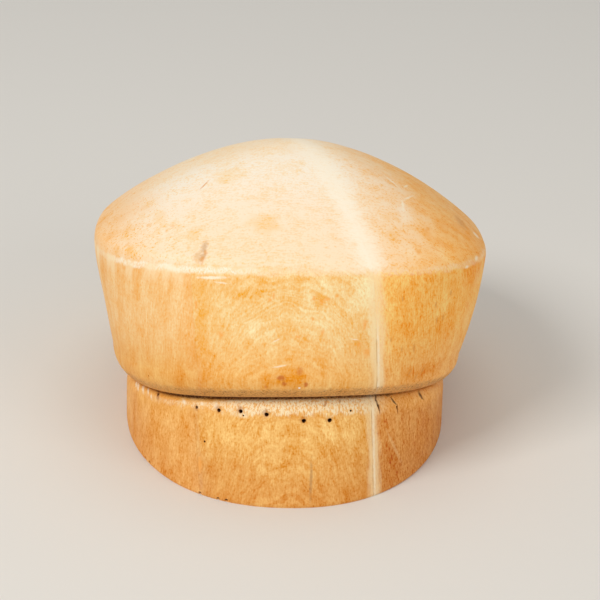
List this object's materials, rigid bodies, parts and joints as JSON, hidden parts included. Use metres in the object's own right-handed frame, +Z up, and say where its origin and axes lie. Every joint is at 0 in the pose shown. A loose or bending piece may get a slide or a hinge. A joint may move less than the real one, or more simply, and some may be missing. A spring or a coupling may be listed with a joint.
{
  "type": "hat block",
  "caption": "Carved wooden hat block: a shallow domed crown on a flared body, with a cord groove over a wedge-shaped base, glued up from upright planks.",
  "frame": {"origin": "on the underside, below the middle of the block's bounding box", "axes": "+Z up from the bench along the fibre of the wood, -Y towards the high front of the hat, +Y towards its low back, +X to the right of someone who looks at the front"},
  "size_m": [0.2058, 0.2306, 0.1432],
  "materials": {
    "left_wood": "bare close-grained wood, worn smooth",
    "middle_wood": "bare close-grained wood, worn smooth",
    "right_wood": "bare close-grained wood, worn smooth"
  },
  "bodies": {
    "root": {"left_plank": "left_wood", "middle_plank": "middle_wood", "right_plank": "right_wood"}
  },
  "joints": []
}
